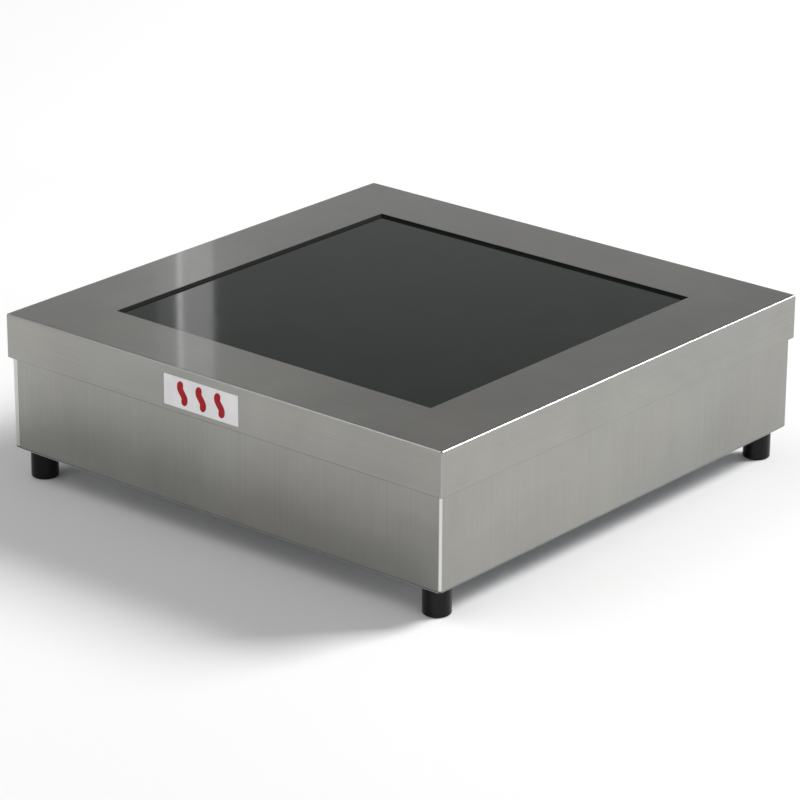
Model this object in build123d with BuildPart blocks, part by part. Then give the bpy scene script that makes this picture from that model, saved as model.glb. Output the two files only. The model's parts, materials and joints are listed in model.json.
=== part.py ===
"""Countertop induction hob: a stainless steel casing with a glass-ceramic plate in its lid, on four feet.

Frame: millimetres, +Z up. The origin is the centre of the footprint, at the feet's underside.
The front, which carries the surface label, faces -Y. The operator's controls are on the left side, -X.
The mains gland and the exhaust are at the rear, +Y.
"""
from build123d import *
import os

os.makedirs("parts", exist_ok=True)

# ---------------------------------------------------------------- driving dimensions
side = 500.0            # the lid's outer width and depth
height = 155.0          # worktop to the lid's top face
skirt = 41.0            # depth of the lid's turned-down edge
body_bottom = 27.5      # underside of the body's lower flange
window = 362.0          # the lid's square window
inset = 3.0             # the body stands back this far from the lid's edge

lid_sheet = 1.5
wall = 1.2              # body, control panel and base sheet
flange = 13.0           # upper inward flanges of the body's sheets
low_flange = 24.0       # lower inward flanges
bend = 2.5              # outer bend radius of the body
lid_bend = 1.7          # outer bend radius of the lid's edge
lid_corner = 1.5        # ground weld radius at the lid's corners

glass = 380.0
glass_thick = 4.0
glass_drop = 2.5        # glass top below the lid's top face
key_band = 0.15         # the glass's border is ground this much lower, to key the silicone

foot_r = 12.5
foot_pitch = 457.0      # between feet, both ways

# ---------------------------------------------------------------- derived levels and faces
half = side / 2
lid_under = height - lid_sheet
skirt_bottom = height - skirt
body = half - inset                     # the body's outer face, from the centre
body_in = body - wall
base_under = body_bottom - wall         # the base plate lies under the lower flange
glass_top = height - glass_drop
glass_under = glass_top - glass_thick
foot_at = foot_pitch / 2
flange_in = body - flange
low_flange_in = body - low_flange
flange_line = body - 7.0                # centre line of the upper flanges' holes
screw_line = body - 16.0                # the base screws' line, too far in to be seen
clear = 0.3                             # gap at butt joints and between loose parts

m4, m5 = 2.0, 2.5                       # screw radii
slack = 0.05                            # radial clearance of a screw in its nut
hole_slack = 0.25                       # radial clearance of a screw in a sheet's hole

bond_x, bond_z = -208.0, 45.0           # equipotential bonding stud, in the rear wall

# ---------------------------------------------------------------- places
panel_seam = -body + 6.5                # the control panel's returns end here
post_screw_y = body - 12.7
post_screw_z = (42.0, 100.0)
control_z = 70.0
knob_y, rocker_y, power_lamp_y, heat_lamp_y = -150.0, 165.0, 122.0, 92.0

gland_x, gland_z = -170.0, 62.0
fan_x, fan_y = 60.0, -110.0
fan_size, fan_deep, fan_pitch = 120.0, 38.0, 105.0
fan_bore = 57.5

vent_x, vent_wide = 60.0, 108.0
vent_low, vent_high = 44.0, 100.0
vent_mid = (vent_low + vent_high) / 2

coil_pin_x, coil_rail_y = 110.0, 100.0
rail_wide, rail_sheet = 30.0, 1.5
support_in, support_web, support_out = 178.0, 193.0, 212.0
support_stud = 204.5

board_low = body_bottom + 12.0          # the power board's underside
board_thick = 1.6
board_top = board_low + board_thick
board_x, board_y = (-40.0, 180.0), (-40.0, 160.0)

edge_holes = [-150.0, 0.0, 150.0]       # base screws along each side
lid_stud_at = 120.0                     # lid studs each side of a side's middle


# ---------------------------------------------------------------- helpers
def block(x, y, z, mode=Mode.ADD):
    """A box between the two limits given for each axis."""
    low, high = zip(sorted(x), sorted(y), sorted(z))
    with Locations(Vector(*low)):
        return Box(*[b - a for a, b in zip(low, high)], align=(Align.MIN,) * 3, mode=mode)


def rod(centre, axis, radius, length, mode=Mode.ADD):
    """A cylinder that starts at centre and runs along axis."""
    with Locations(Plane(origin=centre, z_dir=axis)):
        return Cylinder(radius, length, align=(Align.CENTER, Align.CENTER, Align.MIN), mode=mode)


def hexagon(centre, axis, flats, length, mode=Mode.ADD):
    """A hexagonal prism, given across its flats, that starts at centre and runs along axis."""
    with BuildSketch(Plane(origin=centre, z_dir=axis)) as outline:
        RegularPolygon(flats / 2, 6, major_radius=False)
    return extrude(outline.sketch, amount=length, mode=mode)


def sides(offset):
    """The two signs of a mirrored place."""
    return (-offset, offset)


def edge_places(line, along):
    """Places on all four sides of a square, at these positions along each side."""
    front_back = [(a, s) for s in sides(line) for a in along]
    left_right = [(s, a) for s in sides(line) for a in along]
    return front_back + left_right


def pan_screw(seat, axis, radius, length):
    """A pan-head screw whose shank runs along axis from its seat, the head the other way."""
    rod(seat, axis, radius, length)
    back = Vector(axis) * -1
    with BuildSketch(Plane(origin=seat, z_dir=back)) as head:
        Circle(radius * 1.9)
    extrude(head.sketch, amount=radius * 1.2, taper=12)
    top = Vector(seat) + back * (radius * 1.2)
    hexagon(top + Vector(axis) * (radius * 0.7), back, radius * 1.3, radius, Mode.SUBTRACT)


def hex_nut(seat, axis, radius, flats, thick):
    """A flanged nut on its seat, growing along axis."""
    rod(seat, axis, flats * 0.62, 0.8)
    hexagon(seat, axis, flats, thick)
    rod(seat, axis, radius + slack, thick, Mode.SUBTRACT)


def rivet_nut(seat, axis, outer, radius, sheet):
    """A rivet nut set in a sheet that starts at seat, its crimped collar behind the sheet."""
    rod(seat, axis, outer, 10)
    rod(Vector(seat) + Vector(axis) * sheet, axis, outer + 1.5, 2)
    rod(seat, axis, radius + slack, 10, Mode.SUBTRACT)


def wire(points, radius, bends):
    """A round wire along straight runs and tangent arcs."""
    with BuildLine() as route:
        FilletPolyline(*points, radius=bends)
    with BuildSketch(Plane(origin=route.line @ 0, z_dir=route.line % 0)) as section:
        Circle(radius)
    sweep(section.sketch, path=route.line)


def save(part, name):
    """Labels a finished piece and writes its STEP file."""
    part.label = name
    export_step(part, f"parts/{name}.step")


feet = {
    "foot_front_left": (-foot_at, -foot_at),
    "foot_front_right": (foot_at, -foot_at),
    "foot_rear_left": (-foot_at, foot_at),
    "foot_rear_right": (foot_at, foot_at),
}
pot_back = -body_in + 20.0              # the potentiometer's back, which carries the control board
fan_holes = [(fan_x + dx, fan_y + dy) for dx in sides(fan_pitch / 2) for dy in sides(fan_pitch / 2)]
standoffs = [(x, y) for x in (-34, 174) for y in (-34, 154)]
duct_in, duct_sheet, duct_tab = 62.0, 1.2, 12.0     # the duct's inner half width, sheet and tabs
duct_tab_y = (176, 208)
duct_holes = [(fan_x + dx, y) for dx in sides(duct_in + duct_sheet + duct_tab / 2) for y in duct_tab_y]
terminal_x, terminal_y = gland_x, 176.0
terminal_wires = (-12, 0, 12)           # the three conductors, from the block's middle
terminal_holes = [(terminal_x + dx, terminal_y) for dx in sides(24)]
small_holes = fan_holes + duct_holes + standoffs + terminal_holes

# ================================================================ lid and glass
lid_studs_outer = edge_places(flange_line, sides(lid_stud_at))
lid_studs_inner = edge_places(support_stud, sides(coil_rail_y))

with BuildPart() as lid_cavity:
    block(sides(half - lid_sheet), sides(half - lid_sheet), (skirt_bottom - 1, lid_under))
    fillet(lid_cavity.faces().sort_by(Axis.Z)[-1].edges(), lid_bend - lid_sheet)

with BuildPart() as lid_frame:
    block(sides(half), sides(half), (skirt_bottom, height))
    fillet(lid_frame.edges().filter_by(Axis.Z), lid_corner)
    fillet(lid_frame.faces().sort_by(Axis.Z)[-1].edges(), lid_bend)
    fillet(lid_frame.faces().sort_by(Axis.Z)[0].edges(), 0.5)
    add(lid_cavity.part, mode=Mode.SUBTRACT)
    block(sides(window / 2), sides(window / 2), (lid_under - 1, height + 1), Mode.SUBTRACT)
save(lid_frame.part, "lid_frame")

with BuildPart() as lid_studs:
    for x, y in lid_studs_outer + lid_studs_inner:
        rod((x, y, lid_under), (0, 0, -1), m4, 12.5)
save(lid_studs.part, "lid_studs")

rail_places = [(x, y) for x, y in lid_studs_inner if abs(x) > abs(y)]
with BuildPart() as flange_nuts:
    for x, y in lid_studs_outer:
        hex_nut((x, y, lid_under - wall), (0, 0, -1), m4, 7, 4)
    for x, y in lid_studs_inner:
        sheets = 2 if (x, y) in rail_places else 1
        hex_nut((x, y, lid_under - sheets * rail_sheet), (0, 0, -1), m4, 7, 4)
    for x, y in duct_holes:
        hex_nut((x, y, body_bottom + duct_sheet), (0, 0, 1), m4, 7, 4)
save(flange_nuts.part, "flange_nuts")

exposed = window / 2 - 2.0              # the exposed glass, inside the silicone bead
with BuildPart() as glass_plate:
    block(sides(glass / 2), sides(glass / 2), (glass_under, glass_top - key_band))
    fillet(glass_plate.edges().filter_by(Axis.Z), 3)
    chamfer(glass_plate.faces().sort_by(Axis.Z)[0].edges(), 0.5)
    block(sides(exposed), sides(exposed), (glass_top - 1, glass_top))
save(glass_plate.part, "glass_plate")

with BuildPart() as glass_seal:
    # tape between the lid and the glass's border, with a bead that wets the window's cut edge
    block(sides(glass / 2), sides(glass / 2), (glass_top - key_band, lid_under))
    with BuildSketch(Plane.XY.offset(glass_top - key_band)):
        Rectangle(window, window)
    with BuildSketch(Plane.XY.offset(height - 0.3)):
        Rectangle(window, window)
    loft()
    with BuildSketch(Plane.XY.offset(glass_top - key_band)):
        Rectangle(2 * exposed, 2 * exposed)
    with BuildSketch(Plane.XY.offset(glass_top)):
        Rectangle(2 * exposed, 2 * exposed)
    loft(mode=Mode.SUBTRACT)
    with BuildSketch(Plane.XY.offset(glass_top)):
        Rectangle(2 * exposed, 2 * exposed)
    with BuildSketch(Plane.XY.offset(height)):
        Rectangle(window, window)
    loft(mode=Mode.SUBTRACT)
save(glass_seal.part, "glass_seal")

ledge_top = glass_under - 1.0
with BuildPart() as glass_support_pad:
    block(sides(glass / 2 - 1), sides(glass / 2 - 1), (ledge_top, glass_under))
    block(sides(support_in + 1), sides(support_in + 1), (ledge_top, glass_under), Mode.SUBTRACT)
save(glass_support_pad.part, "glass_support_pad")

with BuildPart() as glass_support_frame:
    # Z-section: a ledge under the glass, a web beside it and a flange under the lid
    web = support_web + rail_sheet
    ledge = ledge_top - rail_sheet
    block(sides(support_out), sides(support_out), (lid_under - rail_sheet, lid_under))
    block(sides(web), sides(web), (ledge, lid_under))
    block(sides(support_web), sides(support_web), (ledge_top, lid_under), Mode.SUBTRACT)
    block(sides(support_in), sides(support_in), (ledge, ledge_top), Mode.SUBTRACT)
    fillet(glass_support_frame.edges().filter_by(Axis.Z).group_by(Edge.length)[0], 1)
    for x, y in lid_studs_inner:
        rod((x, y, lid_under - rail_sheet), (0, 0, 1), m4 + hole_slack, rail_sheet, Mode.SUBTRACT)
save(glass_support_frame.part, "glass_support_frame")

with BuildPart() as surface_label:
    with BuildSketch(Plane(origin=(-15, -half, height - 22), x_dir=(1, 0, 0), z_dir=(0, -1, 0))):
        RectangleRounded(86, 28, 1)
    extrude(amount=0.3)
save(surface_label.part, "surface_label")

# ================================================================ body, control panel and base
with BuildPart() as body_cavity:
    block(sides(body_in), sides(body_in), (body_bottom + wall, lid_under - wall))
    fillet(body_cavity.edges(), bend - wall)

with BuildPart() as body_wrap:
    # front, right and rear walls folded from one sheet, with flanges above and below
    block(sides(body), sides(body), (body_bottom, lid_under))
    fillet(body_wrap.edges(), bend)
    add(body_cavity.part, mode=Mode.SUBTRACT)
    block((-side, flange_in), sides(flange_in), (height / 2, 2 * height), Mode.SUBTRACT)
    block((-side, low_flange_in), sides(low_flange_in), (0, height / 2), Mode.SUBTRACT)
    block((-side, panel_seam + clear), sides(side), (0, 2 * height), Mode.SUBTRACT)
    for x, y in feet.values():
        rod((x, y, body_bottom - 1), (0, 0, 1), 6, 4, Mode.SUBTRACT)
    for x, y in lid_studs_outer:
        rod((x, y, lid_under - 3), (0, 0, 1), m4 + hole_slack, 4, Mode.SUBTRACT)
    for x, y in edge_places(screw_line, edge_holes):
        rod((x, y, body_bottom - 1), (0, 0, 1), 3, 4, Mode.SUBTRACT)
    with BuildSketch(Plane(origin=(vent_x, body + 1, vent_mid), x_dir=(1, 0, 0), z_dir=(0, -1, 0))):
        RectangleRounded(vent_wide, vent_high - vent_low, 4)
    extrude(amount=5, mode=Mode.SUBTRACT)
    rod((gland_x, body + 1, gland_z), (0, -1, 0), 12.6, 5, Mode.SUBTRACT)
    rod((bond_x, body + 1, bond_z), (0, -1, 0), 3.2, 5, Mode.SUBTRACT)
    for x in sides(vent_wide / 2 + 6):
        for z in (vent_low - 4, vent_high + 4):
            rod((vent_x + x, body + 1, z), (0, -1, 0), 2, 5, Mode.SUBTRACT)
save(body_wrap.part, "body_wrap")

with BuildPart() as control_panel:
    # a tray whose returns butt against the body's front and rear walls
    block(sides(body), sides(body), (body_bottom, lid_under))
    fillet(control_panel.edges(), bend)
    add(body_cavity.part, mode=Mode.SUBTRACT)
    block((panel_seam, side), sides(side), (0, 2 * height), Mode.SUBTRACT)
    for z, reach in ((body_bottom, low_flange_in), (lid_under - wall, flange_in)):
        block((panel_seam, -reach), sides(reach - clear), (z, z + wall))
    for y in sides(lid_stud_at):
        rod((-flange_line, y, lid_under - 3), (0, 0, 1), m4 + hole_slack, 4, Mode.SUBTRACT)
    for y in edge_holes:
        rod((-screw_line, y, body_bottom - 1), (0, 0, 1), 3, 4, Mode.SUBTRACT)
    for y in sides(post_screw_y):
        for z in post_screw_z:
            rod((-body - 1, y, z), (1, 0, 0), m4 + hole_slack, 3, Mode.SUBTRACT)
    rod((-body - 1, knob_y, control_z), (1, 0, 0), 5, 3, Mode.SUBTRACT)
    for y in (power_lamp_y, heat_lamp_y):
        rod((-body - 1, y, control_z), (1, 0, 0), 5, 3, Mode.SUBTRACT)
    block((-body - 1, -body + 3), (rocker_y - 11.7, rocker_y + 11.7),
          (control_z - 14.7, control_z + 14.7), Mode.SUBTRACT)
save(control_panel.part, "control_panel")

with BuildPart() as corner_posts:
    # angles behind the two seams, spot-welded to the body and screwed to the control panel
    for s in (-1, 1):
        outer, inner = s * (body_in - 0.1), s * (body_in - 1.6)
        block((-body_in, -body_in + 1.5), (inner, s * (body_in - 21.5)), (30, 150))
        block((-body_in, -body_in + 24), (outer, inner), (30, 150))
        fillet(corner_posts.edges().filter_by(Axis.Z).sort_by_distance((-body, s * body, 90))[0], 1.4)
        for z in post_screw_z:
            rod((-body_in - 1, s * post_screw_y, z), (1, 0, 0), 3, 4, Mode.SUBTRACT)
save(corner_posts.part, "corner_posts")

with BuildPart() as base_plate:
    block(sides(body - 3), sides(body - 3), (base_under, body_bottom))
    fillet(base_plate.edges().filter_by(Axis.Z), 4)
    for x, y in edge_places(screw_line, edge_holes):
        rod((x, y, base_under), (0, 0, 1), m4 + hole_slack, wall, Mode.SUBTRACT)
    for x, y in feet.values():
        rod((x, y, base_under), (0, 0, 1), 3.5, wall, Mode.SUBTRACT)
    for x, y in small_holes:
        rod((x, y, base_under), (0, 0, 1), m4 + 0.2, wall, Mode.SUBTRACT)
    rod((fan_x, fan_y, base_under), (0, 0, 1), fan_bore, wall, Mode.SUBTRACT)
save(base_plate.part, "base_plate")

with BuildPart() as casing_screws:
    for x, y in edge_places(screw_line, edge_holes):
        pan_screw((x, y, base_under), (0, 0, 1), m4, 9)
    for y in sides(post_screw_y):
        for z in post_screw_z:
            pan_screw((-body, y, z), (1, 0, 0), m4, 10)
save(casing_screws.part, "casing_screws")

with BuildPart() as rivet_nuts:
    for x, y in edge_places(screw_line, edge_holes):
        rivet_nut((x, y, body_bottom), (0, 0, 1), 3, m4, wall)
    for x, y in feet.values():
        rivet_nut((x, y, base_under), (0, 0, 1), 3.5, m5, wall)
    for y in sides(post_screw_y):
        for z in post_screw_z:
            rivet_nut((-body_in, y, z), (1, 0, 0), 3, m4, 1.5)
save(rivet_nuts.part, "rivet_nuts")

grille_sheet = 1.0
with BuildPart() as intake_grille:
    low = base_under - grille_sheet
    block((fan_x - 62, fan_x + 62), (fan_y - 62, fan_y + 62), (low, base_under))
    fillet(intake_grille.edges().filter_by(Axis.Z), 5)
    with BuildSketch(Plane.XY.offset(low)):
        with Locations((fan_x, fan_y)):
            with GridLocations(35, 8.5, 3, 11):
                SlotOverall(31, 4.5)
    extrude(amount=grille_sheet, mode=Mode.SUBTRACT)
    for x, y in fan_holes:
        rod((x, y, low), (0, 0, 1), m4 + 0.2, grille_sheet, Mode.SUBTRACT)
save(intake_grille.part, "intake_grille")

with BuildPart() as exhaust_grille:
    with BuildSketch(Plane(origin=(vent_x, body, vent_mid), x_dir=(-1, 0, 0), z_dir=(0, 1, 0))):
        RectangleRounded(vent_wide + 22, vent_high - vent_low + 16, 3)
        with GridLocations(8.6, 0, 12, 1):
            SlotOverall(vent_high - vent_low - 8, 4.5, rotation=90, mode=Mode.SUBTRACT)
        with GridLocations(vent_wide + 12, vent_high - vent_low + 8, 2, 2):
            Circle(2, mode=Mode.SUBTRACT)
    extrude(amount=grille_sheet)
save(exhaust_grille.part, "exhaust_grille")

with BuildPart() as grille_rivets:
    for x in sides(vent_wide / 2 + 6):
        for z in (vent_low - 4, vent_high + 4):
            place = (vent_x + x, body + grille_sheet, z)
            rod(place, (0, -1, 0), m4, grille_sheet + wall + 1.5)
            with BuildSketch(Plane(origin=place, z_dir=(0, 1, 0))):
                Circle(3.6)
            extrude(amount=0.9, taper=30)
            rod((vent_x + x, body_in, z), (0, -1, 0), 3.2, 1.5)
save(grille_rivets.part, "grille_rivets")

# ================================================================ feet
foot_recess = 15.0                      # depth of the screw's recess in a foot
foot_well_r, foot_well = 7.0, 6.0       # its mouth, which a stand's locating pegs enter
washer_thick = 1.2
for name, (x, y) in feet.items():
    with BuildPart() as foot:
        rod((x, y, 0), (0, 0, 1), foot_r, base_under)
        fillet(foot.faces().sort_by(Axis.Z)[0].edges(), 1.5)
        rod((x, y, 0), (0, 0, 1), foot_well_r, foot_well, Mode.SUBTRACT)
        rod((x, y, 0), (0, 0, 1), 6.3, foot_recess, Mode.SUBTRACT)
        rod((x, y, 0), (0, 0, 1), m5 + hole_slack, base_under, Mode.SUBTRACT)
        chamfer(foot.faces().sort_by(Axis.Z)[-1].outer_wire().edges(), 0.5)
    save(foot.part, name)

with BuildPart() as foot_screws:
    for x, y in feet.values():
        seat = (x, y, foot_recess - washer_thick)
        rod(seat, (0, 0, 1), 6.2, washer_thick)
        rod(seat, (0, 0, 1), m5 + 0.2, washer_thick, Mode.SUBTRACT)
        pan_screw(seat, (0, 0, 1), m5, 21)
save(foot_screws.part, "foot_screws")

# ================================================================ coil bed
mica_low = glass_under - 1.0
litz_r, litz_pitch, litz_turns, litz_start = 2.0, 4.25, 24, 33.0
litz_z = mica_low - 0.1 - litz_r
carrier_top = litz_z - litz_r - 0.1
carrier_low = carrier_top - 7.0
shield_low = carrier_low - 2.0
rail_low = 120.5
sensor_flange = 143.0                   # underside of the thermistor's flange
pin_places = [(x, y) for x in sides(coil_pin_x) for y in sides(coil_rail_y)]
lead_in = (litz_start, -litz_r - 0.05)
lead_out = (litz_start + litz_turns * litz_pitch, litz_r + 0.05)

with BuildPart() as mica_sheet:
    rod((0, 0, mica_low), (0, 0, 1), 140, 1)
    rod((0, 0, mica_low), (0, 0, 1), 8, 1, Mode.SUBTRACT)
save(mica_sheet.part, "mica_sheet")

with BuildPart() as coil_winding:
    # a spiral of half circles, alternately about the centre and about a point half a pitch away
    with BuildLine() as spiral:
        for turn in range(litz_turns):
            near = litz_start + turn * litz_pitch
            far = near + litz_pitch
            ThreePointArc((near, 0, litz_z), (0, near, litz_z), (-near, 0, litz_z))
            ThreePointArc((-near, 0, litz_z), ((far - near) / 2, -(near + far) / 2, litz_z), (far, 0, litz_z))
    with BuildSketch(Plane(origin=(litz_start, 0, litz_z), z_dir=(0, 1, 0))):
        Circle(litz_r)
    sweep(path=spiral.line)
save(coil_winding.part, "coil_winding")

ferrite_angles = [22.5 + 45 * i for i in range(8)]
with BuildPart() as coil_carrier:
    rod((0, 0, carrier_low), (0, 0, 1), 142, carrier_top - carrier_low + 3.6)
    rod((0, 0, carrier_top), (0, 0, 1), 139.5, 4, Mode.SUBTRACT)
    rod((0, 0, carrier_low), (0, 0, 1), 24, 12, Mode.SUBTRACT)
    for x, y in (lead_in, lead_out):
        rod((x, y, carrier_low), (0, 0, 1), 3, 8, Mode.SUBTRACT)
    for angle in ferrite_angles:
        with Locations(Rotation(0, 0, angle) * Pos(87, 0, carrier_low)):
            Box(90.6, 16.6, 5.1, align=(Align.CENTER, Align.CENTER, Align.MIN), mode=Mode.SUBTRACT)
save(coil_carrier.part, "coil_carrier")

with BuildPart() as ferrite_bars:
    for angle in ferrite_angles:
        with Locations(Rotation(0, 0, angle) * Pos(87, 0, carrier_low)):
            Box(90, 16, 5, align=(Align.CENTER, Align.CENTER, Align.MIN))
save(ferrite_bars.part, "ferrite_bars")

with BuildPart() as shield_plate:
    block(sides(150), sides(150), (shield_low, carrier_low))
    fillet(shield_plate.edges().filter_by(Axis.Z), 8)
    rod((0, 0, shield_low), (0, 0, 1), 3.4, 2, Mode.SUBTRACT)
    for x, y in pin_places:
        rod((x, y, shield_low), (0, 0, 1), 2.5, 2, Mode.SUBTRACT)
    for x, y in (lead_in, lead_out):
        rod((x, y, shield_low), (0, 0, 1), 4, 2, Mode.SUBTRACT)
save(shield_plate.part, "shield_plate")

with BuildPart() as guide_pins:
    for x, y in pin_places:
        rod((x, y, 112), (0, 0, 1), 2.5, carrier_low - 112)
        rod((x, y, 115.5), (0, 0, 1), 5, 1)
save(guide_pins.part, "guide_pins")

with BuildPart() as coil_rails:
    for middle in sides(coil_rail_y):
        width = (middle - rail_wide / 2, middle + rail_wide / 2)
        top = lid_under - rail_sheet
        block(sides(support_out), width, (top - rail_sheet, top))
        block(sides(197), width, (rail_low, top))
        block(sides(197 - rail_sheet), width, (rail_low + rail_sheet, top + 1), Mode.SUBTRACT)
        for x in sides(support_stud):
            rod((x, middle, top - 3), (0, 0, 1), m4 + hole_slack, 4, Mode.SUBTRACT)
        for x in sides(coil_pin_x):
            rod((x, middle, rail_low), (0, 0, 1), 2.75, 2, Mode.SUBTRACT)
save(coil_rails.part, "coil_rails")


def spring(x, y, low, high, radius, wire_r, turns):
    """A compression spring standing between two heights."""
    tall = high - low - 2 * wire_r
    coil = Pos(x, y, low + wire_r) * Helix(tall / turns, tall, radius)
    with BuildSketch(Plane(origin=coil @ 0, z_dir=coil % 0)) as section:
        Circle(wire_r)
    sweep(section.sketch, path=coil, is_frenet=True)


with BuildPart() as coil_springs:
    for x, y in pin_places:
        spring(x, y, rail_low + rail_sheet, shield_low, 4.2, 0.6, 4.5)
    spring(0, 0, carrier_low, sensor_flange, 4.8, 0.4, 4)
save(coil_springs.part, "coil_springs")

with BuildPart() as temperature_sensor:
    rod((0, 0, 128), (0, 0, 1), 3, sensor_flange - 128)
    rod((0, 0, 128.5), (0, 0, 1), 4.2, 1.5)
    rod((0, 0, sensor_flange), (0, 0, 1), 7, 2)
    rod((0, 0, sensor_flange + 2), (0, 0, 1), 5.5, glass_under - sensor_flange - 2)
save(temperature_sensor.part, "temperature_sensor")

coil_posts = [(168.0, -16.0), (168.0, 8.0)]
post_high = 16.0
with BuildPart() as coil_leads:
    for (x, y), (px, py), level in zip((lead_in, lead_out), coil_posts, (126, 112)):
        top = (x, y, litz_z + litz_r)
        wire([top, (x, y, level), (px, py, level), (px, py, board_top + post_high)], 1.9, 6)
save(coil_leads.part, "coil_leads")

# ================================================================ fan, duct and power electronics
fan_low = body_bottom
fan_top = fan_low + fan_deep
with BuildPart() as fan_housing:
    block((fan_x - fan_size / 2, fan_x + fan_size / 2), (fan_y - fan_size / 2, fan_y + fan_size / 2),
          (fan_low, fan_top))
    fillet(fan_housing.edges().filter_by(Axis.Z), 6)
    rod((fan_x, fan_y, fan_low), (0, 0, 1), fan_bore, fan_deep, Mode.SUBTRACT)
    for angle in (45, 135, 225, 315):
        with Locations(Pos(fan_x, fan_y, fan_top - 4) * Rotation(0, 0, angle) * Pos(40, 0, 0)):
            Box(38, 5, 4, align=(Align.CENTER, Align.CENTER, Align.MIN))
    rod((fan_x, fan_y, fan_top - 5.5), (0, 0, 1), 24, 5.5)
    rod((fan_x, fan_y, fan_low + 12), (0, 0, 1), 8, fan_deep - 12)
    rod((fan_x, fan_y, fan_low + 13), (0, 0, 1), 20, 18)
    rod((fan_x, fan_y, fan_low + 12), (0, 0, 1), 4.05, fan_deep - 15, Mode.SUBTRACT)
    for x, y in fan_holes:
        rod((x, y, fan_low), (0, 0, 1), m4 + slack, 14, Mode.SUBTRACT)
save(fan_housing.part, "fan_housing")

blades, blade_tip, hub_r = 7, 56.0, 25.0
impeller_low, impeller_tall = fan_low + 3.0, 28.0
with BuildPart() as fan_impeller:
    for i in range(blades):
        spoke = Rotation(0, 0, i * 360 / blades) * Pos((hub_r + blade_tip) / 2 + 0.5, 0, 0)
        with Locations(Pos(fan_x, fan_y, impeller_low + impeller_tall / 2) * spoke * Rotation(38, 0, 0)):
            Box(36, 30, 1.8)
    rod((fan_x, fan_y, impeller_low), (0, 0, 1), blade_tip, impeller_tall, Mode.INTERSECT)
    rod((fan_x, fan_y, impeller_low), (0, 0, 1), hub_r, impeller_tall)
    rod((fan_x, fan_y, impeller_low + 3), (0, 0, 1), hub_r - 2.5, impeller_tall, Mode.SUBTRACT)
    rod((fan_x, fan_y, impeller_low), (0, 0, 1), 4, 31)
    rims = fan_impeller.edges().filter_by(GeomType.CIRCLE).filter_by(lambda e: e.radius == hub_r)
    fillet(rims.sort_by(Axis.Z)[0], 1)
save(fan_impeller.part, "fan_impeller")

duct_top, duct_end = 106.0, 243.0
duct_front = fan_y - fan_size / 2 - 2
duct_out = duct_in + duct_sheet
with BuildPart() as air_duct:
    block((fan_x - duct_out, fan_x + duct_out), (duct_front, duct_end), (fan_low, duct_top))
    block((fan_x - duct_in, fan_x + duct_in), (duct_front + duct_sheet, side),
          (0, duct_top - duct_sheet), Mode.SUBTRACT)
    # notches over the power board and over the casing's rivet nuts
    block(sides(side), (board_y[0] - 1, board_y[1] + 1), (0, board_top + 0.4), Mode.SUBTRACT)
    block(sides(side), (low_flange_in - 1, side), (0, fan_low + 11), Mode.SUBTRACT)
    for y in duct_tab_y:
        for s in (-1, 1):
            block((fan_x + s * duct_in, fan_x + s * (duct_out + duct_tab)), (y - 8, y + 8),
                  (fan_low, fan_low + duct_sheet))
    for x, y in duct_holes:
        rod((x, y, fan_low), (0, 0, 1), m4 + hole_slack, duct_sheet, Mode.SUBTRACT)
save(air_duct.part, "air_duct")

with BuildPart() as inner_screws:
    for x, y in fan_holes:
        pan_screw((x, y, base_under - grille_sheet), (0, 0, 1), m4, 14)
    for x, y in duct_holes:
        pan_screw((x, y, base_under), (0, 0, 1), m4, 7.5)
    for x, y in standoffs:
        pan_screw((x, y, base_under), (0, 0, 1), m4, 5.5)
    for x, y in terminal_holes:
        pan_screw((x, y, base_under), (0, 0, 1), m4, 9)
    for x, y in standoffs:
        pan_screw((x, y, board_top), (0, 0, -1), m4, 5)
save(inner_screws.part, "inner_screws")

with BuildPart() as board_standoffs:
    for x, y in standoffs:
        hexagon((x, y, fan_low), (0, 0, 1), 7, board_low - fan_low)
        rod((x, y, fan_low), (0, 0, 1), m4 + slack, board_low - fan_low, Mode.SUBTRACT)
save(board_standoffs.part, "board_standoffs")

with BuildPart() as power_board:
    block(board_x, board_y, (board_low, board_top))
    for x, y in standoffs:
        rod((x, y, board_low), (0, 0, 1), m4 + hole_slack, board_thick, Mode.SUBTRACT)
save(power_board.part, "power_board")

sink_x, sink_y = (5.0, 115.0), (-20.0, 130.0)
sink_low, sink_base, sink_top = board_top + 5.0, board_top + 12.0, 92.0
with BuildPart() as heatsink:
    block(sink_x, sink_y, (sink_low, sink_base))
    for x in (sink_x[0], sink_x[1] - 4):
        block((x, x + 4), sink_y, (board_top, sink_low))
    for i in range(15):
        x = sink_x[0] + i * 7.7
        block((x, x + 2), sink_y, (sink_base, sink_top))
save(heatsink.part, "heatsink")

with BuildPart() as power_semiconductors:
    for x, y, wide, deep in ((35, 20, 16, 21), (35, 90, 16, 21), (85, 55, 30, 30)):
        block((x - wide / 2, x + wide / 2), (y - deep / 2, y + deep / 2), (board_top, sink_low))
save(power_semiconductors.part, "power_semiconductors")

with BuildPart() as film_capacitors:
    # DC link, then two resonance capacitors
    for y, deep, tall in ((46, 32, 48), (82, 22, 37), (110, 22, 37)):
        block((128, 176), (y - deep / 2, y + deep / 2), (board_top, board_top + tall))
    fillet(film_capacitors.edges().filter_by(Axis.Z), 1.5)
save(film_capacitors.part, "film_capacitors")

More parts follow.
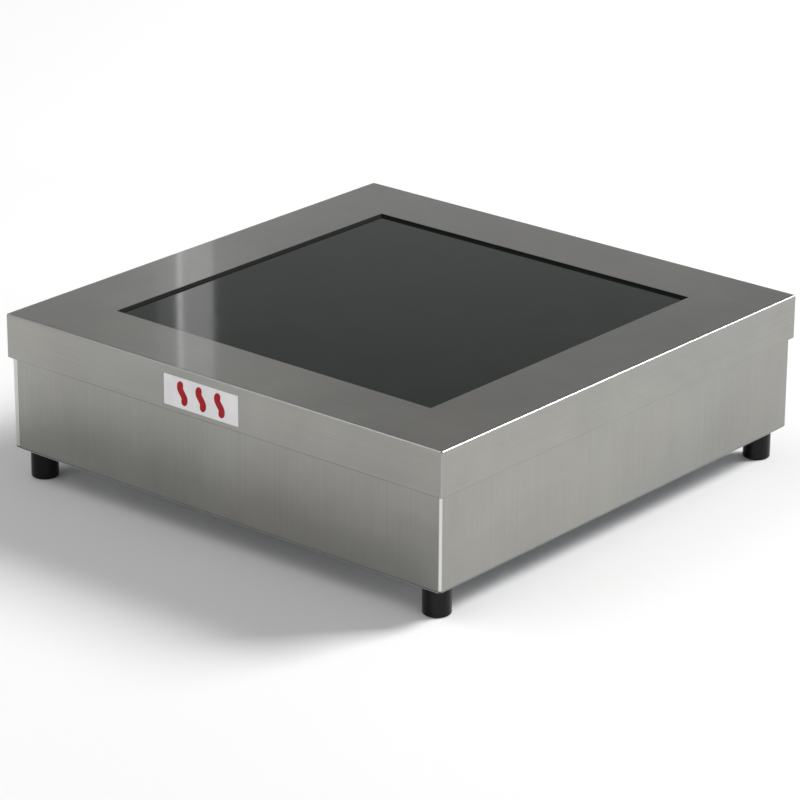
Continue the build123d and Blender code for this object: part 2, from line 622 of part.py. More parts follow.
with BuildPart() as board_parts:
    # filter choke, suppression capacitor, relay and supply transformer, then two electrolytics
    rod((-22, 130, board_top), (0, 0, 1), 13, 12)
    fillet(board_parts.edges().filter_by(GeomType.CIRCLE).sort_by(Axis.Z)[-1], 4)
    rod((-22, 130, board_top), (0, 0, 1), 5, 12, Mode.SUBTRACT)
    for low, high, tall in ((92, 110, 22), (64, 86, 16), (18, 46, 24)):
        block((-36, -8), (low, high), (board_top, board_top + tall))
    for y in (-4, -22):
        rod((-22, y, board_top), (0, 0, 1), 7, 26)
    # processor, connector and electrolytic of the control board
    back = pot_back + 1.6
    block((back, back + 8), (knob_y + 14, knob_y + 34), (control_z - 18, control_z - 4))
    block((back, back + 2), (knob_y - 8, knob_y + 8), (control_z - 4, control_z + 12))
    rod((back, knob_y + 24, control_z + 10), (1, 0, 0), 5, 14)
save(board_parts.part, "board_parts")

# ================================================================ mains inlet
with BuildPart() as terminal_block:
    block((terminal_x - 31, terminal_x + 31), (terminal_y - 11, terminal_y + 11), (fan_low, fan_low + 24))
    for x in terminal_wires:
        rod((terminal_x + x, terminal_y, fan_low + 9), (0, 0, 1), 3.6, 15, Mode.SUBTRACT)
        rod((terminal_x + x, terminal_y - 11, fan_low + 8), (0, 1, 0), 3, 22, Mode.SUBTRACT)
    for x, y in terminal_holes:
        rod((x, y, fan_low), (0, 0, 1), m4 + slack, 10, Mode.SUBTRACT)
save(terminal_block.part, "terminal_block")

with BuildPart() as brass_terminals:
    for x, y in coil_posts:
        rod((x, y, board_top), (0, 0, 1), 5, post_high)
    for x in terminal_wires:
        rod((terminal_x + x, terminal_y - 8, fan_low + 8), (0, 1, 0), 3, 16)
        rod((terminal_x + x, terminal_y, fan_low + 8), (0, 0, 1), 2.6, 13)
save(brass_terminals.part, "brass_terminals")

with BuildPart() as gland_body:
    rod((gland_x, body - 13, gland_z), (0, 1, 0), 12.4, 13)
    hexagon((gland_x, body, gland_z), (0, 1, 0), 30, 5)
    rod((gland_x, body + 5, gland_z), (0, 1, 0), 10.5, 9)
    rod((gland_x, body - 13, gland_z), (0, 1, 0), 8.5, 30, Mode.SUBTRACT)
save(gland_body.part, "gland_body")

seal_low, seal_long = body - 1.0, 16.0
with BuildPart() as gland_seal:
    rod((gland_x, seal_low, gland_z), (0, 1, 0), 8.5, seal_long)
    rod((gland_x, seal_low, gland_z), (0, 1, 0), 6.5, seal_long, Mode.SUBTRACT)
save(gland_seal.part, "gland_seal")

with BuildPart() as gland_nuts:
    with BuildSketch(Plane(origin=(gland_x, body + 5.2, gland_z), z_dir=(0, 1, 0))):
        RegularPolygon(14, 6, major_radius=False)
    extrude(amount=9)
    with BuildSketch(Plane(origin=(gland_x, body + 14.2, gland_z), z_dir=(0, 1, 0))):
        Circle(13.5)
    extrude(amount=6, taper=28)
    rod((gland_x, body + 5.2, gland_z), (0, 1, 0), 10.55, 11, Mode.SUBTRACT)
    rod((gland_x, body + 5.2, gland_z), (0, 1, 0), 7.5, 30, Mode.SUBTRACT)
    hexagon((gland_x, body_in, gland_z), (0, -1, 0), 30, 5)
    rod((gland_x, body_in, gland_z), (0, -1, 0), 12.4 + slack, 5, Mode.SUBTRACT)
save(gland_nuts.part, "gland_nuts")

with BuildPart() as bonding_stud:
    for start, axis in (((bond_x, body, bond_z), (0, 1, 0)), ((bond_x, body_in, bond_z), (0, -1, 0))):
        rod(start, axis, 6.2, 1.4)
        hexagon(start, axis, 10, 6.4)
        rod(start, axis, 3 + slack, 6.4, Mode.SUBTRACT)
    # the stud, with a relief groove between its nut and the free end that takes a ring terminal
    rod((bond_x, body_in - 10, bond_z), (0, 1, 0), 3, 28)
    rod((bond_x, body + 6.4, bond_z), (0, 1, 0), 4, 0.6, Mode.SUBTRACT)
    rod((bond_x, body + 6.4, bond_z), (0, 1, 0), 2.5, 0.6)
    chamfer(bonding_stud.faces().sort_by(Axis.Y)[-1].edges(), 0.5)
save(bonding_stud.part, "bonding_stud")

# ================================================================ operator's controls, on the left
knob_face = -body - 0.6
knob_long = 24.0
pointer_y = (knob_y - 0.9, knob_y + 0.9)
with BuildPart() as control_knob:
    rod((knob_face, knob_y, control_z), (-1, 0, 0), 23, 4)
    with BuildSketch(Plane(origin=(knob_face - 4, knob_y, control_z), z_dir=(-1, 0, 0))):
        Circle(17)
    extrude(amount=knob_long - 4, taper=3)
    for i in range(18):
        with Locations(Pos(0, knob_y, control_z) * Rotation(i * 20, 0, 0) * Pos(knob_face - 4, 17.2, 0)):
            Cylinder(1.3, 34, rotation=(0, 90, 0), mode=Mode.SUBTRACT)
    fillet(control_knob.faces().sort_by(Axis.X)[0].edges(), 0.8)
    rod((knob_face, knob_y, control_z), (-1, 0, 0), 11, 6, Mode.SUBTRACT)
    rod((knob_face, knob_y, control_z), (-1, 0, 0), 3, 17, Mode.SUBTRACT)
    block((knob_face - 2.5, knob_face - 5), pointer_y, (control_z + 18.5, control_z + 24), Mode.SUBTRACT)
save(control_knob.part, "control_knob")

with BuildPart() as knob_pointer:
    block((knob_face - 2.5, knob_face - 4), pointer_y, (control_z + 18.5, control_z + 22.8))
save(knob_pointer.part, "knob_pointer")

with BuildPart() as knob_shaft:
    rod((knob_face - 17, knob_y, control_z), (1, 0, 0), 3, 28)
save(knob_shaft.part, "knob_shaft")

with BuildPart() as potentiometer:
    rod((-body - 5, knob_y, control_z), (1, 0, 0), 4.9, 12)
    block((-body_in + 4, pot_back), (knob_y - 12, knob_y + 12), (control_z - 12, control_z + 12))
    rod((-body_in, knob_y, control_z), (1, 0, 0), 8, 4)
    rod((-body - 5, knob_y, control_z), (1, 0, 0), 3.05, 17, Mode.SUBTRACT)
save(potentiometer.part, "potentiometer")

with BuildPart() as dial_plate:
    rod((-body, knob_y, control_z), (-1, 0, 0), 40, 0.4)
    rod((-body, knob_y, control_z), (-1, 0, 0), 9, 0.4, Mode.SUBTRACT)
save(dial_plate.part, "dial_plate")

rocker_pivot = -body + 1.0
with BuildPart() as switch_housing:
    block((-body, -body - 2), (rocker_y - 13, rocker_y + 13), (control_z - 16, control_z + 16))
    fillet(switch_housing.edges().filter_by(Axis.X), 1.5)
    block((-body, -body + 26), (rocker_y - 11.5, rocker_y + 11.5), (control_z - 14.5, control_z + 14.5))
    block((-body - 3, rocker_pivot + 8), (rocker_y - 10.3, rocker_y + 10.3),
          (control_z - 13.2, control_z + 13.2), Mode.SUBTRACT)
    rod((rocker_pivot, rocker_y - 11.3, control_z), (0, 1, 0), 1.55, 22.6, Mode.SUBTRACT)
save(switch_housing.part, "switch_housing")

with BuildPart() as rocker_button:
    # the section stands upright and is then tipped to the off position
    rocker_side = (rocker_pivot, rocker_y + 10, control_z)
    with BuildSketch(Plane(origin=rocker_side, x_dir=(-1, 0, 0), z_dir=(0, -1, 0))):
        with BuildLine():
            Polyline((-3, -5), (0.5, -12), (5, -12), (3.4, 0), (5, 12), (0.5, 12), (-3, 5), close=True)
        make_face()
    extrude(amount=20)
    fillet(rocker_button.edges().filter_by(Axis.Y).sort_by(Axis.X)[:2], 0.6)
    rod((rocker_pivot, rocker_y - 11.2, control_z), (0, 1, 0), 1.5, 22.4)
tipped = rocker_button.part.rotate(Axis((rocker_pivot, rocker_y, control_z), (0, 1, 0)), -10)
save(tipped, "rocker_button")

for name, y in {"power_lamp": power_lamp_y, "heat_lamp": heat_lamp_y}.items():
    with BuildPart() as lamp:
        rod((-body, y, control_z), (-1, 0, 0), 7.5, 1.5)
        rod((-body, y, control_z), (-1, 0, 0), 5.5, 5)
        rod((-body, y, control_z), (1, 0, 0), 4.9, 16)
        fillet(lamp.faces().sort_by(Axis.X)[0].edges(), 2.5)
    save(lamp.part, name)

with BuildPart() as panel_nuts:
    for seat, axis in (((-body_in, power_lamp_y, control_z), (1, 0, 0)),
                       ((-body_in, heat_lamp_y, control_z), (1, 0, 0)),
                       ((-body, knob_y, control_z), (-1, 0, 0))):
        hexagon(seat, axis, 14, 2.5)
        rod(seat, axis, 4.9 + slack, 2.5, Mode.SUBTRACT)
save(panel_nuts.part, "panel_nuts")

with BuildPart() as control_board:
    block((pot_back, pot_back + 1.6), (knob_y - 30, knob_y + 40), (control_z - 24, control_z + 24))
save(control_board.part, "control_board")

# ================================================================ wiring
with BuildPart() as mains_wiring:
    wire_z = fan_low + 8
    for i, x in enumerate(terminal_wires):
        bend_y = terminal_y - 30 - 8 * i
        end_x = -60 - 6 * i
        wire([(terminal_x + x, terminal_y - 11, wire_z), (terminal_x + x, bend_y, wire_z),
              (end_x, bend_y, wire_z), (end_x, 60 - 12 * i, wire_z)], 1.6, 6)
save(mains_wiring.part, "mains_wiring")
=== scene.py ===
"""Looks for a countertop induction hob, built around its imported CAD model, in metres and in its frame."""

import json
import math

import bmesh
import bpy
from mathutils import Matrix, Vector


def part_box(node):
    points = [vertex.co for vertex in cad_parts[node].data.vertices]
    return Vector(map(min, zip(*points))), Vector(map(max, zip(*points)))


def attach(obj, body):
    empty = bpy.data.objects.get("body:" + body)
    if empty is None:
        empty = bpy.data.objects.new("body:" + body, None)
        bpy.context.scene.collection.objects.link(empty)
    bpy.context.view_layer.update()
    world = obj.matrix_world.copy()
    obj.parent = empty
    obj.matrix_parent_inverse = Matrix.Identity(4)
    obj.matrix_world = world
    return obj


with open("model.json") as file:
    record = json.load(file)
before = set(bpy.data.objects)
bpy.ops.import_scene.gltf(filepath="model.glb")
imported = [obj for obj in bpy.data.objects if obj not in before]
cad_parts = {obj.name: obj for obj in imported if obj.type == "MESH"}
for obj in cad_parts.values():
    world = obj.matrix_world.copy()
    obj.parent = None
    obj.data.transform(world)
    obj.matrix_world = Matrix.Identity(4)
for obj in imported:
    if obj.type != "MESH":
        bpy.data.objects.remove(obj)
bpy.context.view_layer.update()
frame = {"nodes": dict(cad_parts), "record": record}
nodes = frame["nodes"]
joints = {joint["name"]: joint for joint in frame["record"]["behaviour"]["joints"]}

# ---------------------------------------------------------------- places, read from the frame
lid_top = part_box("lid_frame")[1].z
label_low, label_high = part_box("surface_label")
label_middle = (label_low + label_high) / 2
dial_low, dial_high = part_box("dial_plate")
dial_middle = (dial_low + dial_high) / 2
knob_radius = (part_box("control_knob")[1].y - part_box("control_knob")[0].y) / 2

print_gap = 0.00002             # printed marks start this far off their surface


# ---------------------------------------------------------------- shader helpers
class Shader:
    """A principled material that is built up node by node; constants are the shader's own values."""

    def __init__(self, name, **constants):
        self.material = bpy.data.materials.new(name)
        self.material.use_nodes = True
        self.tree = self.material.node_tree
        self.bsdf = self.tree.nodes["Principled BSDF"]
        for key, value in constants.items():
            self.bsdf.inputs[key.replace("_", " ")].default_value = value
        self.place = self.node("ShaderNodeTexCoord").outputs["Object"]

    def feed(self, socket, value):
        """Gives a socket another node's output, or a plain value."""
        if isinstance(value, bpy.types.NodeSocket):
            self.tree.links.new(value, socket)
        else:
            socket.default_value = value

    def node(self, kind, inputs=None, **settings):
        """Adds a node, with its settings and its inputs."""
        made = self.tree.nodes.new(kind)
        for key, value in settings.items():
            setattr(made, key, value)
        for key, value in (inputs or {}).items():
            self.feed(made.inputs[key], value)
        return made

    def stretched(self, scale):
        """The object's coordinates, scaled by a different amount along each axis."""
        return self.node("ShaderNodeMapping", {"Vector": self.place, "Scale": scale}).outputs["Vector"]

    def noise(self, scale, stretch=(1, 1, 1), detail=3.0, roughness=0.55, distortion=0.0):
        """Noise between 0 and 1."""
        made = self.node(
            "ShaderNodeTexNoise",
            {
                "Vector": self.stretched(stretch),
                "Scale": scale,
                "Detail": detail,
                "Roughness": roughness,
                "Distortion": distortion,
            },
        )
        return made.outputs["Fac"]

    def ramp(self, value, *stops):
        """A colour that follows value through stops, each a place and an (r, g, b) or a grey."""
        made = self.node("ShaderNodeValToRGB", {"Fac": value})
        band = made.color_ramp
        while len(band.elements) < len(stops):
            band.elements.new(0.5)
        for element, (place, colour) in zip(band.elements, stops):
            element.position = place
            grey = isinstance(colour, (int, float))
            element.color = (colour, colour, colour, 1) if grey else (*colour, 1)
        return made.outputs["Color"]

    def blend(self, mix, first, second, mode="MIX"):
        """Two colours mixed. The node has its colours at inputs 6 and 7 and its mixed colour at output 2."""
        made = self.node("ShaderNodeMix", data_type="RGBA", blend_type=mode)
        self.feed(made.inputs[0], mix)
        for index, colour in ((6, first), (7, second)):
            self.feed(made.inputs[index], (*colour, 1) if isinstance(colour, tuple) else colour)
        return made.outputs[2]

    def maths(self, operation, *values):
        """A number worked out from others."""
        made = self.node("ShaderNodeMath", operation=operation)
        for i, value in enumerate(values):
            self.feed(made.inputs[i], value)
        return made.outputs[0]

    def bump(self, height, depth):
        """A normal from a height, whose full range is depth metres."""
        inputs = {"Height": height, "Distance": depth, "Strength": 1.0}
        return self.node("ShaderNodeBump", inputs).outputs["Normal"]

    def drive(self, **outputs):
        """Links outputs to the shader's own sockets."""
        for key, value in outputs.items():
            self.tree.links.new(value, self.bsdf.inputs[key.replace("_", " ")])
        return self.material


# ---------------------------------------------------------------- materials
def brushed_stainless(name, tint, bend_highlight, flat_grain, wall_grain, return_highlight=0.0):
    """Satin stainless sheet: drawn lines, cloudy handling marks, and bends painted the brighter grey
    bend_highlight as a painted highlight.

    Bends that face down are painted dark grey instead, a painted shade. Level and upright faces each have a
    grain of their own.
    return_highlight is how far, from 0 to 1, faces to the front and rear get that painted highlight too.
    """
    s = Shader(name, Metallic=1.0, Coat_Weight=0.40, Coat_Roughness=0.05)
    facing = s.node("ShaderNodeTexCoord").outputs["Normal"]
    normal = s.node("ShaderNodeSeparateXYZ", {"Vector": facing})
    steep = [s.maths("ABSOLUTE", normal.outputs[axis]) for axis in "XYZ"]
    lying = s.maths("GREATER_THAN", steep[2], 0.7)
    on_flat = s.noise(1.0, flat_grain, detail=4, roughness=0.7)
    on_wall = s.noise(1.0, wall_grain, detail=4, roughness=0.7)
    lines = s.blend(lying, on_wall, on_flat)
    cloud = s.noise(6.0, detail=5, roughness=0.62, distortion=0.5)
    smear = s.noise(17.0, detail=3, distortion=1.3)
    warm = s.noise(4.0, detail=2)
    shade = s.ramp(cloud, (0.30, tuple(c * 0.88 for c in tint)), (0.70, tuple(c * 1.10 for c in tint)))
    cast = s.ramp(warm, (0.35, (0.985, 1.0, 0.985)), (0.65, (1.0, 0.985, 0.96)))
    colour = s.blend(1.0, shade, cast, "MULTIPLY")
    colour = s.blend(0.5, colour, s.ramp(lines, (0.30, 0.86), (0.70, 1.06)), "MULTIPLY")
    squareness = s.maths("MAXIMUM", s.maths("MAXIMUM", steep[0], steep[1]), steep[2])
    bends = {"Value": squareness, "From Min": 0.995, "From Max": 0.93}
    bend = s.node("ShaderNodeMapRange", bends).outputs["Result"]
    downward = s.maths("LESS_THAN", normal.outputs["Z"], -0.05)
    endways = s.maths("GREATER_THAN", steep[1], 0.9)
    # painted highlight: bends, and front and rear faces as far as return_highlight, take a brighter grey
    # than the sheet
    painted_highlight = s.maths("MAXIMUM", bend, s.maths("MULTIPLY", endways, return_highlight))
    # painted shade: bends that face down take a dark grey in place of the bright one
    colour = s.blend(painted_highlight, colour, s.blend(downward, (bend_highlight,) * 3, (0.10, 0.10, 0.095)))
    roughness = s.maths("ADD", s.maths("MULTIPLY", cloud, 0.12), 0.22)
    roughness = s.maths("ADD", roughness, s.maths("MULTIPLY", smear, 0.06))
    return s.drive(Base_Color=colour, Roughness=roughness, Normal=s.bump(lines, 0.000010))


def plain_metal(name, colour, rough=0.35, scale=40.0):
    """Plated or bare metal with slight unevenness."""
    s = Shader(name, Metallic=1.0)
    cloud = s.noise(scale, detail=3)
    fine = s.noise(600.0, detail=2)
    shade = s.ramp(cloud, (0.3, tuple(c * 0.85 for c in colour)), (0.7, colour))
    roughness = s.maths("ADD", s.maths("MULTIPLY", cloud, 0.15), rough - 0.05)
    return s.drive(Base_Color=shade, Roughness=roughness, Normal=s.bump(fine, 0.00002))


def moulded(name, colour, rough=0.45, texture=0.00003, coat=0.0, gloss=0.5):
    """Moulded plastic or rubber with a fine spark-eroded texture."""
    s = Shader(name, Coat_Weight=coat, Coat_Roughness=0.12, Specular_IOR_Level=gloss)
    cloud = s.noise(30.0, detail=3)
    fine = s.noise(900.0, detail=2)
    low = tuple(c * 0.8 for c in colour)
    high = tuple(min(1, c * 1.12 + 0.001) for c in colour)
    shade = s.ramp(cloud, (0.3, low), (0.7, high))
    roughness = s.maths("ADD", s.maths("MULTIPLY", cloud, 0.12), rough - 0.06)
    return s.drive(Base_Color=shade, Roughness=roughness, Normal=s.bump(fine, texture))


def glass_ceramic(name):
    """Opaque dark glass-ceramic: glossy, with a faint cleaning film over a speckled green-grey body."""
    s = Shader(name, IOR=1.31)
    speckle = s.noise(1500.0, detail=1)
    film = s.noise(14.0, detail=4, distortion=0.9)
    body = s.ramp(speckle, (0.40, (0.008, 0.011, 0.009)), (0.62, (0.012, 0.016, 0.013)))
    shade = s.blend(0.5, body, s.ramp(film, (0.3, 0.8), (0.7, 1.2)), "MULTIPLY")
    roughness = s.maths("ADD", s.maths("MULTIPLY", film, 0.05), 0.03)
    return s.drive(Base_Color=shade, Roughness=roughness)


def lens(name, colour):
    """A tinted indicator lens over a ribbed diffuser."""
    s = Shader(name, Coat_Weight=0.6, Coat_Roughness=0.05, Roughness=0.2)
    waves = s.node("ShaderNodeTexWave", {"Vector": s.place, "Scale": 300.0}, bands_direction="Z")
    ribs = waves.outputs["Fac"]
    shade = s.ramp(ribs, (0.2, tuple(c * 0.75 for c in colour)), (0.8, colour))
    return s.drive(Base_Color=shade, Normal=s.bump(ribs, 0.00005))


def circuit(name):
    """Green solder mask over a grid of tracks."""
    s = Shader(name, Coat_Weight=0.3, Roughness=0.4)
    tracks = s.node(
        "ShaderNodeTexBrick",
        {
            "Vector": s.place,
            "Scale": 120.0,
            "Mortar Size": 0.08,
            "Color1": (0.012, 0.10, 0.035, 1),
            "Color2": (0.014, 0.12, 0.045, 1),
            "Mortar": (0.03, 0.22, 0.09, 1),
        },
    )
    return s.drive(Base_Color=tracks.outputs["Color"], Normal=s.bump(tracks.outputs["Fac"], 0.00003))


def sheet_label(name):
    """Printed vinyl, slightly uneven where it is stuck down."""
    s = Shader(name, Roughness=0.35, Coat_Weight=0.25, Coat_Roughness=0.2)
    cloud = s.noise(45.0, detail=2)
    shade = s.ramp(cloud, (0.3, (0.80, 0.78, 0.79)), (0.7, (0.88, 0.86, 0.87)))
    return s.drive(Base_Color=shade, Normal=s.bump(cloud, 0.00015))


def finishes():
    """One finished material for each of the record's material slots."""
    return {
        "zinc_steel": plain_metal("zinc_steel", (0.50, 0.51, 0.53), 0.38),
        "spring_steel": plain_metal("spring_steel", (0.42, 0.42, 0.43), 0.25),
        "black_glass": glass_ceramic("glass_ceramic"),
        "black_silicone": moulded("black_silicone", (0.006, 0.007, 0.006), 0.75, gloss=0.12),
        "foot_plastic": moulded("foot_black", (0.004, 0.004, 0.005), 0.26, gloss=0.22),
        "label_white": sheet_label("label_white"),
        "copper": plain_metal("copper_litz", (0.70, 0.33, 0.15), 0.40, 900.0),
        "ferrite": moulded("ferrite", (0.06, 0.06, 0.065), 0.6),
        "mica": moulded("mica", (0.55, 0.48, 0.34), 0.5, 0.0001),
        "aluminium": plain_metal("aluminium", (0.72, 0.73, 0.74), 0.35),
        "circuit_green": circuit("circuit_green"),
        "black_plastic": moulded("black_plastic", (0.020, 0.020, 0.022), 0.5),
        "knob_black": moulded("knob_black", (0.012, 0.012, 0.013), 0.38, coat=0.15),
        "rocker_black": moulded("rocker_black", (0.014, 0.014, 0.015), 0.36, coat=0.15),
        "grey_plastic": moulded("grey_plastic", (0.10, 0.105, 0.11), 0.5),
        "white_plastic": moulded("white_plastic", (0.72, 0.72, 0.70), 0.45),
        "brass": plain_metal("brass", (0.72, 0.52, 0.22), 0.3),
        "lamp_green": lens("lamp_green", (0.02, 0.34, 0.09)),
        "lamp_amber": lens("lamp_amber", (0.62, 0.16, 0.02)),
        "thermistor": moulded("thermistor", (0.75, 0.72, 0.65), 0.6),
        "coil_lead_sleeve": moulded("coil_lead_sleeve", (0.55, 0.52, 0.42), 0.7, 0.0001),
        "wire_sleeve": moulded("wire_sleeve", (0.16, 0.07, 0.03), 0.45),
    }


def finish_frame():
    """Gives each CAD node the material of its slot; the sheet-metal pieces have their own grain.

    A grain's lines run along the axis, or the axes, where its noise is stretched least.
    """
    across, along = 700, 5
    lines_up = (across, across, along)
    lines_in_depth = (across, along, along)
    tint = (0.325, 0.323, 0.308)
    # the brighter greys painted onto bends as a painted highlight, on the walls and on the lid
    wall_bend_highlight, lid_bend_highlight = 0.68, 0.38
    walls = brushed_stainless("stainless_walls", tint, wall_bend_highlight, lines_in_depth, lines_up)
    own = {
        "lid_frame": brushed_stainless(
            "stainless_lid", tint, lid_bend_highlight, (along, across, along), (along, along, across)
        ),
        # the panel's front and rear faces carry most of the bends' painted highlight too
        "control_panel": brushed_stainless(
            "stainless_panel", tint, wall_bend_highlight, lines_in_depth, lines_up, return_highlight=0.8
        ),
    }
    ready = finishes()
    for entry in frame["record"]["subparts"]:
        name, slot = entry["node"], entry["material_slot"]
        mesh = nodes[name].data
        mesh.materials.clear()
        mesh.materials.append(ready.get(slot) or own.get(name, walls))


# ---------------------------------------------------------------- printed marks
def link(name, mesh, material, body="hob"):
    """Adds a mesh as a piece of the object."""
    mesh.materials.append(material)
    piece = bpy.data.objects.new(name, mesh)
    bpy.context.collection.objects.link(piece)
    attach(piece, body)


def ribbon(points, widths, out, thick, loop=False):
    """A flat printed stroke along points, or round them if loop, standing thick proud along out."""
    mesh = bmesh.new()
    rings = []
    lift = out * thick
    # each point's direction is from the one before it to the one after it
    before = [points[-1] if loop else points[0], *points[:-1]]
    after = [*points[1:], points[0] if loop else points[-1]]
    for point, width, behind, ahead in zip(points, widths, before, after):
        side = (ahead - behind).cross(out).normalized() * width / 2
        corners = (point - side, point + side, point + side + lift, point - side + lift)
        rings.append([mesh.verts.new(corner) for corner in corners])
    for a, b in zip(rings, rings[1:] + rings[:1] if loop else rings[1:]):
        for k in range(4):
            mesh.faces.new((a[k], a[(k + 1) % 4], b[(k + 1) % 4], b[k]))
    if not loop:
        mesh.faces.new(rings[0][::-1])
        mesh.faces.new(rings[-1])
    bmesh.ops.recalc_face_normals(mesh, faces=mesh.faces)
    made = bpy.data.meshes.new("ribbon")
    mesh.to_mesh(made)
    mesh.free()
    return made


def add_heat_waves(material):
    """Three bold rising waves, a generic sign for heat, on the label."""
    tall, sway, spacing, bold = 0.0205, 0.0026, 0.0215, 0.0070
    steps = 48
    bluntest = 0.02             # keeps a stroke's very end from closing to a point
    for i in range(3):
        points, widths = [], []
        for k in range(steps + 1):
            # steps are closer together towards the ends, so that these come out round
            t = 0.5 - 0.5 * math.cos(math.pi * k / steps)
            x = label_middle.x + (i - 1) * spacing + sway * math.sin(2 * math.pi * t)
            points.append(Vector((x, label_low.y - print_gap, label_middle.z + tall * (t - 0.5))))
            into_cap = min(1, min(t, 1 - t) * tall / (bold / 2))
            widths.append(bold * math.sqrt(max(bluntest, 1 - (1 - into_cap) ** 2)))
        link(f"heat_wave_{i + 1}", ribbon(points, widths, Vector((0, -1, 0)), 0.00008), material)


def add_dial(material):
    """Tick marks and numbers around the knob; the off mark is at the top and the scale runs clockwise."""
    marks = 10
    sweep = joints["knob_turn"]["range_deg"][1]
    tick_start, tick_end, number_at = (knob_radius + gap for gap in (0.0015, 0.0055, 0.0105))
    tick_wide, tick_thick, number_tall = 0.0011, 0.0001, 0.0075
    out = Vector((-1, 0, 0))
    centre = Vector((dial_low.x - print_gap, dial_middle.y, dial_middle.z))
    for i in range(marks):
        angle = math.radians(sweep * i / (marks - 1))
        # the operator looks along +X, so clockwise from the top runs towards -Y
        spoke = Vector((0, -math.sin(angle), math.cos(angle)))
        ends = [centre + spoke * tick_start, centre + spoke * tick_end]
        link(f"dial_tick_{i}", ribbon(ends, [tick_wide] * 2, out, tick_thick), material)
        add_number(f"dial_number_{i}", str(i), centre + spoke * number_at, number_tall, material)


def add_number(name, text, place, size, material):
    """A printed character that faces the operator on the left side."""
    curve = bpy.data.curves.new(name, "FONT")
    curve.body = text
    curve.size = size
    curve.extrude = 0.00005
    curve.align_x = "CENTER"
    curve.align_y = "CENTER"
    drawn = bpy.data.objects.new(name, curve)
    bpy.context.collection.objects.link(drawn)
    bpy.context.view_layer.update()
    mesh = bpy.data.meshes.new_from_object(drawn.evaluated_get(bpy.context.evaluated_depsgraph_get()))
    bpy.data.objects.remove(drawn)
    # text's own right, up and out become -Y, +Z and -X
    mesh.transform(Matrix.Translation(place) @ Matrix(((0, 0, -1), (-1, 0, 0), (0, 1, 0))).to_4x4())
    mesh.materials.clear()
    # a character's faces come unjoined, so they are welded into one closed shape
    weld = bmesh.new()
    weld.from_mesh(mesh)
    bmesh.ops.remove_doubles(weld, verts=weld.verts, dist=0.000005)
    bmesh.ops.recalc_face_normals(weld, faces=weld.faces)
    weld.to_mesh(mesh)
    weld.free()
    link(name, mesh, material)


def add_rocker_marks(material):
    """A bar and a ring, the usual on and off signs, on the two slopes of the rocker's face."""
    joint = joints["rocker_tilt"]
    pivot = Vector(joint["pos_m"])
    tip = Matrix.Rotation(-math.radians(joint["range_deg"][1] / 2), 3, "Y")
    # the face before it is tipped: its middle, and its rise over half its height
    middle_out, edge_out, half_tall = 0.0034, 0.0050, 0.012
    bar_half, ring_radius, ring_steps = 0.0022, 0.0020, 24
    stroke, thick, gap = 0.0008, 0.00008, 0.00001
    slope = math.atan2(edge_out - middle_out, half_tall)
    across = Vector((0, 1, 0))
    for name, end in (("rocker_on_mark", 1), ("rocker_off_mark", -1)):
        out = tip @ Vector((-math.cos(slope), 0, -end * math.sin(slope)))
        up = out.cross(across)
        centre = pivot + tip @ Vector((-(middle_out + edge_out) / 2 - gap, 0, end * half_tall / 2))
        if end > 0:
            points = [centre - up * bar_half, centre + up * bar_half]
        else:
            turns = [2 * math.pi * k / ring_steps for k in range(ring_steps)]
            points = [centre + (up * math.cos(t) + across * math.sin(t)) * ring_radius for t in turns]
        mesh = ribbon(points, [stroke] * len(points), out, thick, loop=end < 0)
        link(name, mesh, material, body="rocker")


def ink(name, colour):
    """Screen-printed ink with slight unevenness."""
    s = Shader(name, Roughness=0.5, Specular_IOR_Level=0.2)
    cloud = s.noise(220.0, detail=2)
    shade = s.ramp(cloud, (0.35, tuple(c * 0.85 for c in colour)), (0.65, colour))
    return s.drive(Base_Color=shade)


finish_frame()
red_ink = ink("red_ink", (0.42, 0.008, 0.014))
white_ink = ink("white_ink", (0.80, 0.80, 0.78))
add_heat_waves(red_ink)
add_dial(white_ink)
add_rocker_marks(white_ink)

# ---------------------------------------------------------------- stage
view_azimuth = math.radians(40.0303)        # from the front, towards the right
view_elevation = math.radians(21.205)
view_roll = math.radians(0.3272)


def add_camera():
    """A long lens from the front right, a little above."""
    aside, above, away = -0.00395, -0.0856, 3.3591      # the camera's place along its own axes
    data = bpy.data.cameras.new("camera")
    data.lens = 169.6
    data.sensor_width = 36.0
    data.clip_end = 50
    camera = bpy.data.objects.new("camera", data)
    bpy.context.collection.objects.link(camera)
    turn = (
        Matrix.Rotation(view_azimuth, 4, "Z")
        @ Matrix.Rotation(math.pi / 2 - view_elevation, 4, "X")
        @ Matrix.Rotation(view_roll, 4, "Z")
    )
    place = Matrix.Translation((aside, above, away))
    camera.matrix_world = Matrix.Translation((0, 0, lid_top)) @ turn @ place
    bpy.context.scene.camera = camera


def add_panel(name, place, target, size, radiance):
    """A rectangular light that faces a target; radiance is how bright it looks."""
    data = bpy.data.lights.new(name, "AREA")
    data.shape = "RECTANGLE"
    data.size, data.size_y = size
    data.energy = radiance * math.pi * size[0] * size[1]
    lamp = bpy.data.objects.new(name, data)
    bpy.context.collection.objects.link(lamp)
    lamp.location = place
    lamp.rotation_euler = (Vector(target) - Vector(place)).to_track_quat("-Z", "Y").to_euler()


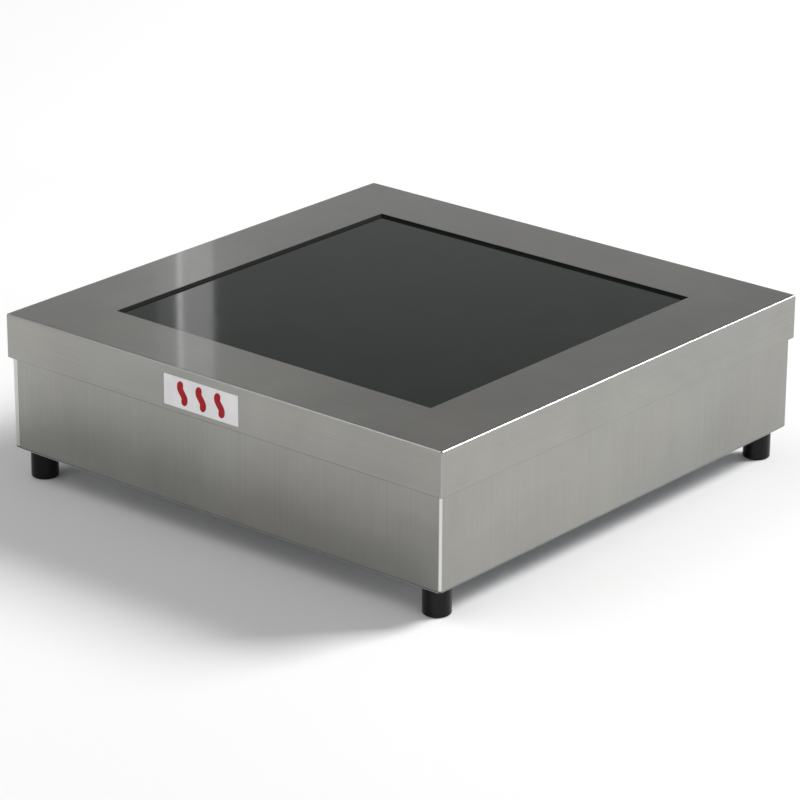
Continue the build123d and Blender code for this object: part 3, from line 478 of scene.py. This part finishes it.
def add_window():
    """Upright strips of light far behind the hob, which the glass's left corner mirrors."""
    distance, level, tall = 2.6, 1.30, 0.9
    away = Vector((-math.sin(view_azimuth), math.cos(view_azimuth), 0))
    aside = Vector((math.cos(view_azimuth), math.sin(view_azimuth), 0))
    target = Vector((0, 0, level))
    middle = target + away * distance
    # each strip's name, place to the side, width and radiance
    strips = (
        ("dim_pane", -0.3825, 0.033, 0.22),
        ("pane", -0.3325, 0.051, 1.0),
        ("post", -0.362, 0.008, 2.6),
    )
    for name, side, width, radiance in strips:
        add_panel(name, middle + aside * side, target + aside * side, (width, tall), radiance)


def add_floor():
    """A large plain pale floor."""
    mesh = bpy.data.meshes.new("floor")
    span = 30.0
    corners = [(-span, -span, 0), (span, -span, 0), (span, span, 0), (-span, span, 0)]
    mesh.from_pydata(corners, [], [(0, 1, 2, 3)])
    floor = bpy.data.objects.new("floor", mesh)
    bpy.context.collection.objects.link(floor)
    s = Shader("floor_white", Roughness=0.9, Specular_IOR_Level=0.0)
    tone = s.ramp(s.noise(3.0, detail=2), (0.3, 0.90), (0.7, 0.91))
    mesh.materials.append(s.drive(Base_Color=tone))


def add_world():
    """Grey surroundings that are brightest near the horizon and darkest a little above it."""
    world = bpy.data.worlds.new("surroundings")
    world.use_nodes = True
    tree = world.node_tree
    direction = tree.nodes.new("ShaderNodeTexCoord")
    parts = tree.nodes.new("ShaderNodeSeparateXYZ")
    ramp = tree.nodes.new("ShaderNodeValToRGB")
    tree.links.new(direction.outputs["Generated"], parts.inputs["Vector"])
    tree.links.new(parts.outputs["Z"], ramp.inputs["Fac"])
    tree.links.new(ramp.outputs["Color"], tree.nodes["Background"].inputs["Color"])
    band = ramp.color_ramp
    band.elements.new(0.5)
    greys = ((0.22, 0.76), (0.38, 0.17), (1.0, 0.26))
    for element, (height, grey) in zip(band.elements, greys):
        element.position = height
        element.color = (grey, grey, grey, 1)
    bpy.context.scene.world = world


add_camera()
add_floor()
add_world()
add_window()
add_panel("key", (3.0, 4.8, 4.8), (0, 0, 0), (2.8, 2.8), 24.5)
add_panel("fill", (-2.0, -1.7, 3.7), (0, 0, 0), (3.0, 3.0), 1.6)
add_panel("front", (-1.0, -3.2, 1.4), (0, 0, 0.1), (1.6, 1.0), 2.0)
bpy.context.scene.view_settings.view_transform = "Standard"
